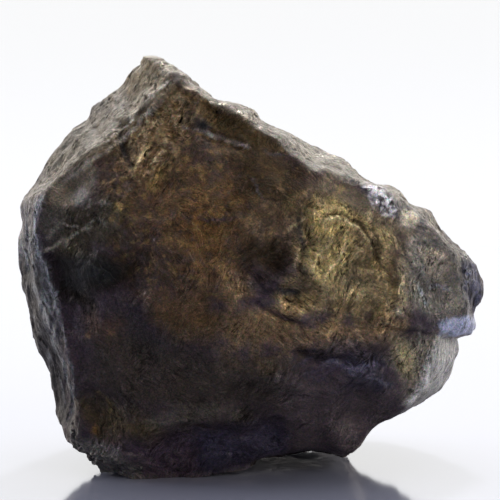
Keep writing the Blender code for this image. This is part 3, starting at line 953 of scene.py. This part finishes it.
# %% [markdown]
# Along the ridges run bundles of hairlines, the edges of thin fibres, painted pale as the
# highlights that the ridges catch. Each one is a short stretch of the ridge's own path, moved a
# little to one side and bent a little.

# %% Draw the hairlines
SCRATCHES = [(50, 228), (68, 214), (84, 224), (102, 212), (116, 222)]
SCAR_RIDGE = [(296, 376), (316, 366), (336, 360), (358, 366), (390, 372)]
HAIRLINES = (  # the way they run, how many, the most they move right and down, and their colour
    (LEFT_RIDGE, 26, (-24, 0), (-6, 6), "#8E9090"),
    (SHOULDER_RIDGE, 9, (-14, 0), (-16, 0), "#A29C90"),
    (SCRATCHES, 7, (-6, 6), (-14, 20), "#8C867A"),
    (SCAR_RIDGE, 18, (-6, 10), (-10, 14), "#5C5A6C"),
)
HAIRLINE_LEGS = (0.4, 1.6)  # how much of the path one follows, in legs of it
HAIRLINE_WIDTH = (0.05, 0.12)  # mm
for path, many, sideways, downways, pale in HAIRLINES:
    path = np.array(path, float)
    for _ in range(many):
        start = chance.uniform(0, len(path) - HAIRLINE_LEGS[1])
        at = np.linspace(start, start + chance.uniform(*HAIRLINE_LEGS), 4)
        line = np.stack([np.interp(at, range(len(path)), path[:, axis]) for axis in (0, 1)], 1)
        line += (chance.uniform(*sideways), chance.uniform(*downways))
        line[:, 0] += np.linspace(0, chance.uniform(-4, 4), 4) + chance.uniform(-1, 1, 4)
        strength = stroke(line, chance.uniform(*HAIRLINE_WIDTH)) * chance.uniform(0.4, 1.0)
        # painted highlights along the ridges, drawn as pale fibres
        lay(pale, strength * edge_on)
print("hairlines:", sum(many for _, many, *_ in HAIRLINES))

# %% [markdown]
# ## What the finish reads
#
# The skin's points carry their colour, with the painted light and shade laid into it, and a few
# strengths to the material as attributes: how fibrous the break is there, how many pale threads
# cross it, and which way they run. Attributes belong to the mesh, so they outlast its thinning,
# and they stay put when the stone is turned.

# %% Store the colours on the skin
SCRATCHED = [(48, 196), (90, 205), (112, 200), (112, 232), (92, 250), (58, 262), (50, 230)]

rgba = np.ones((count, 4), np.float32)
rgba[:, :3] = tint
stone.data.attributes.new("tint", "FLOAT_COLOR", "POINT").data.foreach_set("color", rgba.ravel())
fibrous = 0.42 + 0.18 * felt + 0.2 * flaky + 0.35 * end_face
fibrous = np.clip(fibrous + patchy * 0.4, 0.25, 1) * (1 - 0.35 * calm)
fibrous += 0.12 * inside(CENTRE, 1.0)
fibrous *= 1 - 0.45 * inside(LEFT_LOW, 0.4)
threads = np.maximum.reduce([
    0.28 + 0.25 * felt, 0.9 * flaky, 1.0 * rim, 0.4 * end_face, 1.2 * inside(PEAK, 0.5),
    0.3 * inside(BROWN, 0.8), 0.5 * inside(LEFT_SIDE, 0.4), 0.7 * inside(LEFT_CORNER, 0.4),
    0.5 * inside(SCRATCHED, 0.8), 0.6 * inside(FOOT, 0.6), 0.4 * inside(INDIGO, 0.6),
    0.8 * inside(VIOLET_SCAR, 0.5), 0.35 * inside(RIGHT_SHOULDER, 0.6),
    0.8 * inside(SPARKLE, 0.2), 0.7 * inside(OLIVE_STRIPE, 0.3), 0.3 * inside(MOSS, 0.6),
]) * np.clip(0.8 + patchy, 0.2, 1.4)
for name, values in (("fibrous", fibrous), ("threads", threads), *grains.items()):
    stone.data.attributes.new(name, "FLOAT", "POINT").data.foreach_set(
        "value", values.astype(np.float32))
print("mean tint:", tint.mean(axis=0).round(3))

# %% [markdown]
# The skin is thinned to under 200,000 triangles. Decimating takes triangles away where the
# skin is flat and leaves them where it is broken. After that, the edges sharper than a set angle
# are drawn crisp.

# %% Thin the skin and mark its sharp edges
MOST_TRIANGLES = 194000
CRISP_ANGLE = math.radians(38)

triangles = sum(len(face.vertices) - 2 for face in stone.data.polygons)
thin = stone.modifiers.new("thin", "DECIMATE")
thin.ratio = min(1.0, MOST_TRIANGLES / triangles)
bpy.ops.object.modifier_apply(modifier="thin")
thinned = np.empty(len(stone.data.vertices) * 3)
stone.data.vertices.foreach_get("co", thinned)
thinned = np.clip(thinned.reshape(-1, 3), low * MM, high * MM)
stone.data.vertices.foreach_set("co", thinned.ravel())
stone.data.shade_smooth()
stone.data.set_sharp_from_angle(angle=CRISP_ANGLE)
print("triangles:", triangles, "thinned to", len(stone.data.polygons))

# %% [markdown]
# ## Broken iolite
#
# Iolite is a silicate with a refractive index of 1.54, and it breaks like glass, into small
# shell-shaped chips that each catch the light their own way. Voronoi cells with a random tilt
# and shade draw them: long thin ones that follow the crystal's growth, and squarer ones.
# Ridged noise draws the thin pale fibres, and slow noise bends both, so that they curve. The
# finest cells give a coloured grain. Flat flakes inside the stone mirror light, as mica does,
# so the more fibrous the break is, the more metallic it is. This could also be a set of painted
# images, but a procedural pattern stays sharp at any distance and needs no unwrapping.

# %% Start the finish
FLAKES = (  # width (mm), stretch, and how much each counts in the relief and in the shade
    (0.075, 8, 1.0, 0.9), (0.18, 6, 1.3, 0.9), (0.50, 2.2, 3.0, 0.7),
)
CHIPS = (0.17, 1.0, 0.9)  # unstretched: width (mm), and how much they count in each
HAIR_SPACING = 0.26 * MM  # between the thin pale fibres, in metres
HAIR_STRETCH = 11  # how many times longer than wide
GRAIN = 0.065 * MM  # across one grain
SWIRL_SPACING = 3.0 * MM  # between the bends in the fibres
SWIRL_REACH = 2.4 * MM  # how far apart the bends may push two places
BUMP_DEPTH = 0.030 * MM
IOLITE_INDEX = 1.54

finish = bpy.data.materials.new("broken_iolite")
finish.use_nodes = True
tree = finish.node_tree
tree.nodes.clear()


def add(kind, inputs=(), out=None, **settings):
    """Adds a node. Inputs are values, or sockets to link, by order or by name; settings go on the
    node itself. Gives the node, or its output called out."""
    node = tree.nodes.new(kind)
    for key, value in settings.items():
        setattr(node, key, value)
    for key, value in inputs.items() if isinstance(inputs, dict) else enumerate(inputs):
        if isinstance(value, bpy.types.NodeSocket):
            tree.links.new(value, node.inputs[key])
        else:
            node.inputs[key].default_value = value
    return node if out is None else node.outputs[out]


print("the finish is", finish.name)

# %% [markdown]
# Two tools draw on the stone. The first squeezes space along a direction, and whatever is drawn
# in the squeezed space comes out stretched. The second breaks the surface into cells. A Voronoi
# texture gives every cell a random colour, and the colour's three numbers serve as the cell's
# tilt, which goes into the relief, and the first of them as its shade.

# %% Tools for the finish
def squeeze(places, direction, ratio):
    """The places squeezed along a direction, so that what is drawn on them is stretched."""
    direction = Vector(direction).normalized()
    run = add("ShaderNodeVectorMath", (places, direction), out="Value", operation="DOT_PRODUCT")
    back = add("ShaderNodeVectorMath", {0: direction * (1 / ratio - 1), "Scale": run}, out=0,
               operation="SCALE")
    return add("ShaderNodeVectorMath", (places, back), out=0, operation="ADD")


def break_up(so_far, places, width, here, height, contrast):
    """Breaks the surface into cells this wide (mm), each tilted and shaded its own way, as
    strongly as here says. Gives the relief and the shade so far with these added."""
    relief, shade = so_far
    cell = add("ShaderNodeTexVoronoi", {"Vector": places, "Scale": 1 / (width * MM)})
    offset = add("ShaderNodeVectorMath", (places, cell.outputs["Position"]), out=0,
                 operation="SUBTRACT")
    tilt = add("ShaderNodeVectorMath", (cell.outputs["Color"], (0.5, 0.5, 0.5)), out=0,
               operation="SUBTRACT")
    rise = add("ShaderNodeVectorMath", (offset, tilt), out="Value", operation="DOT_PRODUCT")
    share = add("ShaderNodeMath", (here, height / (width * MM)), out=0, operation="MULTIPLY")
    relief = add("ShaderNodeMath", (rise, share, relief), out=0, operation="MULTIPLY_ADD")
    random = add("ShaderNodeSeparateXYZ", (cell.outputs["Color"],), out="X")
    share = add("ShaderNodeMath", (here, contrast), out=0, operation="MULTIPLY")
    shade = add("ShaderNodeMath", (random, share, shade), out=0, operation="MULTIPLY_ADD")
    return relief, shade


print("kinds of cell:", 1 + len(FLAKES) * len(DIRECTIONS))

# %% [markdown]
# All the patterns read the place on the stone in its own space, so they turn with it. Slow noise
# drifts that place about, which bends the fibres. Then the cells and the fibres are added up
# over the three directions, each as strong as its attribute says.

# %% Break up the surface
place = add("ShaderNodeTexCoord", out="Object")
drift = add("ShaderNodeTexNoise", {"Vector": place, "Scale": 1 / SWIRL_SPACING, "Detail": 3.0},
            out="Color")
bend = add("ShaderNodeVectorMath", (drift, (0.5, 0.5, 0.5)), out=0, operation="SUBTRACT")
bent = add("ShaderNodeVectorMath", (bend, (SWIRL_REACH,) * 3, place), out=0,
           operation="MULTIPLY_ADD")

surface = break_up((0.0, 0.0), place, CHIPS[0], 1.0, *CHIPS[1:])
hairs = 0.0
for name, direction in DIRECTIONS.items():
    here = add("ShaderNodeAttribute", out="Fac", attribute_name=name)
    for width, stretch, height, contrast in FLAKES:
        surface = break_up(surface, squeeze(bent, direction, stretch), width, here, height,
                           contrast)
    squeezed = squeeze(bent, direction, HAIR_STRETCH)
    crest = add("ShaderNodeTexNoise",
                {"Vector": squeezed, "Scale": 1 / HAIR_SPACING, "Detail": 2.0, "Roughness": 0.6,
                 "Offset": 1.0, "Gain": 2.0}, out="Fac", noise_type="RIDGED_MULTIFRACTAL")
    hair = add("ShaderNodeMapRange", (crest, 1.3, 2.2, 0.0, 1.0), out=0)
    hairs = add("ShaderNodeMath", (hair, here, hairs), out=0, operation="MULTIPLY_ADD")
relief, shade = surface
print("nodes so far:", len(tree.nodes))

# %% [markdown]
# The colour is the tint painted on the skin, made lighter or darker by the cells' shade, with
# the pale fibres and the grain on top. The shade also drives the gloss, since the chips that
# look bright are the ones that lie smooth.

# %% Put the finish together
HAIR_RELIEF = 0.8  # how high the fibres stand, as the chips' relief goes
SHADE_RANGE = 1.3  # how far the chips' shade takes the tint up or down
GRAIN_HUE, GRAIN_SHADE, GRAIN_BASE = 0.35, 0.5, 0.57  # together about 1 on average
ROUGHNESS = (0.50, 0.24)  # of the darkest and the brightest chips
METALLIC = (0.12, 0.60)  # where the break is least and most fibrous

ground = add("ShaderNodeAttribute", out="Color", attribute_name="tint")
fibrous = add("ShaderNodeAttribute", out="Fac", attribute_name="fibrous")
relief = add("ShaderNodeMath", (hairs, HAIR_RELIEF, relief), out=0, operation="MULTIPLY_ADD")
most = sum(layer[-1] for layer in (*FLAKES, CHIPS))
dark, bright = 0.2 * most, 0.8 * most
lit = add("ShaderNodeMapRange", (shade, dark, bright, -SHADE_RANGE, SHADE_RANGE), out=0)
lit = add("ShaderNodeMath", (lit, fibrous, 1.0), out=0, operation="MULTIPLY_ADD")
colour = add("ShaderNodeVectorMath", {0: ground, "Scale": lit}, out=0, operation="SCALE")
threads = add("ShaderNodeAttribute", out="Fac", attribute_name="threads")
threads = add("ShaderNodeMath", (threads, hairs), out=0, operation="MULTIPLY")
pale = add("ShaderNodeVectorMath", (ground, (1.3,) * 3, (0.07,) * 3), out=0,
           operation="MULTIPLY_ADD")
pale = add("ShaderNodeVectorMath", {0: pale, "Scale": threads}, out=0, operation="SCALE")
colour = add("ShaderNodeVectorMath", (colour, pale), out=0, operation="ADD")
grain = add("ShaderNodeTexVoronoi", {"Vector": place, "Scale": 1 / GRAIN}, out="Color")
grey = add("ShaderNodeSeparateXYZ", (grain,), out="X")
grey = add("ShaderNodeMath", (grey, GRAIN_SHADE, GRAIN_BASE), out=0, operation="MULTIPLY_ADD")
grain = add("ShaderNodeVectorMath", (grain, (GRAIN_HUE,) * 3, grey), out=0,
            operation="MULTIPLY_ADD")
colour = add("ShaderNodeVectorMath", (colour, grain), out=0, operation="MULTIPLY")
shine = add("ShaderNodeMapRange", (shade, dark, bright, *ROUGHNESS), out=0)
bump_strength = add("ShaderNodeMapRange", (fibrous, 0.0, 1.0, 0.30, 1.0), out=0)
bump = add("ShaderNodeBump", {"Height": relief, "Distance": BUMP_DEPTH,
                              "Strength": bump_strength}, out=0)
metal = add("ShaderNodeMapRange", (fibrous, 0.1, 0.9, *METALLIC), out=0)
skin_shader = add("ShaderNodeBsdfPrincipled",
                  {"Base Color": colour, "Roughness": shine, "IOR": IOLITE_INDEX,
                   "Specular IOR Level": 0.17, "Specular Tint": (*linear("#FFF0DE"), 1),
                   "Metallic": metal, "Normal": bump}, out=0)
add("ShaderNodeOutputMaterial", (skin_shader,))
stone.data.materials.append(finish)
print("nodes in the finish:", len(tree.nodes))

# %% [markdown]
# ## The table
#
# The stone stands on a sheet of glossy acrylic. The sheet is moulded against glass, so its
# roughness is low, and seen from this low it mirrors the foot of the stone and the pale room.
# It is really a mid grey, which the bright room lifts to near white. A single flat square is
# enough for it, because all that shows is its gloss.

# %% Lay the table
TABLE_SIZE = 24000 * MM
TABLE_GAP = 0.01 * MM  # keeps the table clear of the worn flat
ACRYLIC_INDEX = 1.49

bm = bmesh.new()
bmesh.ops.create_grid(bm, x_segments=1, y_segments=1, size=TABLE_SIZE / 2,
                      matrix=Matrix.Translation((0, 0, -TABLE_GAP)))
table_mesh = bpy.data.meshes.new("table")
bm.to_mesh(table_mesh)
bm.free()
table = bpy.data.objects.new("table", table_mesh)
bpy.context.scene.collection.objects.link(table)

sheet = bpy.data.materials.new("glossy_grey_acrylic")
sheet.use_nodes = True
tree = sheet.node_tree
tree.nodes.clear()
acrylic = add("ShaderNodeBsdfPrincipled", {"Base Color": (*linear("#898C9D"), 1),
                                           "Roughness": 0.08, "IOR": ACRYLIC_INDEX}, out=0)
add("ShaderNodeOutputMaterial", (acrylic,))
table.data.materials.append(sheet)
print("table:", TABLE_SIZE / MM, "mm across")

# %% [markdown]
# ## The light
#
# The light is plain studio light. A large soft box above gives the top faces their pale sheen,
# and a small lamp behind it picks out the ridges. A warm box fills the broad face from the front
# and right, and a weak cool one shows the fibres on the left end. The room behind the stone is
# bright, and the room behind the camera is dim, which keeps the crystal's colours deep.

# %% Hang the lights
def soft_box(name, place, size, power, colour):
    """A square lamp that points at the stone (place and size in mm, power in watts)."""
    light = bpy.data.lights.new(name, "AREA")
    light.shape = "SQUARE"
    light.size = size * MM
    light.energy = power
    light.color = linear(colour)
    lamp = bpy.data.objects.new(name, light)
    lamp.location = Vector(place) * MM
    aim = STONE_MIDDLE - Vector(place)
    lamp.rotation_euler = aim.to_track_quat("-Z", "Y").to_euler()
    bpy.context.scene.collection.objects.link(lamp)


soft_box("top_box", (20, 50, 200), 180, 0.12, "#FFFCF8")
soft_box("back_spot", (20, 120, 200), 25, 0.22, "#FFFCF8")
soft_box("front_fill", (200, -200, 130), 200, 0.39, "#FFF6EA")
soft_box("left_rim", (-220, 20, 118), 110, 0.09, "#E8ECFF")
print("lights:", [light.name for light in bpy.data.lights])

# %% [markdown]
# The room is a plain sky: pale and bright on the side behind the stone, cooler and dim on the
# camera's side, with a soft change between them. The bright side gets brighter from the table
# upwards and dimmer again overhead.

# %% Fill the room with light
DIM_SIDE = 0.14  # the room's strength behind the camera
BRIGHT_SIDE = (1.28, 2.10)  # and behind the stone: at the table, and above it
OVERHEAD = 0.62  # the share of it that is left overhead

room = bpy.data.worlds.new("pale_room")
bpy.context.scene.world = room
room.use_nodes = True
tree = room.node_tree
tree.nodes.clear()
direction = add("ShaderNodeTexCoord", out="Generated")
split = add("ShaderNodeSeparateXYZ", (direction,))
backward = add("ShaderNodeMapRange", (split.outputs["Y"], -0.6, 0.6, 0.0, 1.0), out=0,
               interpolation_type="SMOOTHSTEP")
backdrop = add("ShaderNodeMapRange", (split.outputs["Z"], 0.06, 0.20, *BRIGHT_SIDE), out=0)
fall = add("ShaderNodeMapRange", (split.outputs["Z"], 0.25, 0.60, 1.0, OVERHEAD), out=0)
backdrop = add("ShaderNodeMath", (backdrop, fall), out=0, operation="MULTIPLY")
strength = add("ShaderNodeMapRange", (backward, 0.0, 1.0, DIM_SIDE, backdrop), out=0)
room_colour = add("ShaderNodeMix", {0: backward, 6: (*linear("#C8CCE4"), 1),
                                    7: (*linear("#FEFEFC"), 1)}, out=2, data_type="RGBA")
sky = add("ShaderNodeBackground", {"Color": room_colour, "Strength": strength}, out=0)
add("ShaderNodeOutputWorld", (sky,))
bpy.context.scene.view_settings.view_transform = "Standard"  # shows hex colours as written
print("nodes in the room:", len(tree.nodes))

# %% [markdown]
# ## Hand the stone over
#
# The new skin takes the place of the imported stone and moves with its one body.

# %% Finish
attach(stone, "root")
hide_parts("iolite_stone")
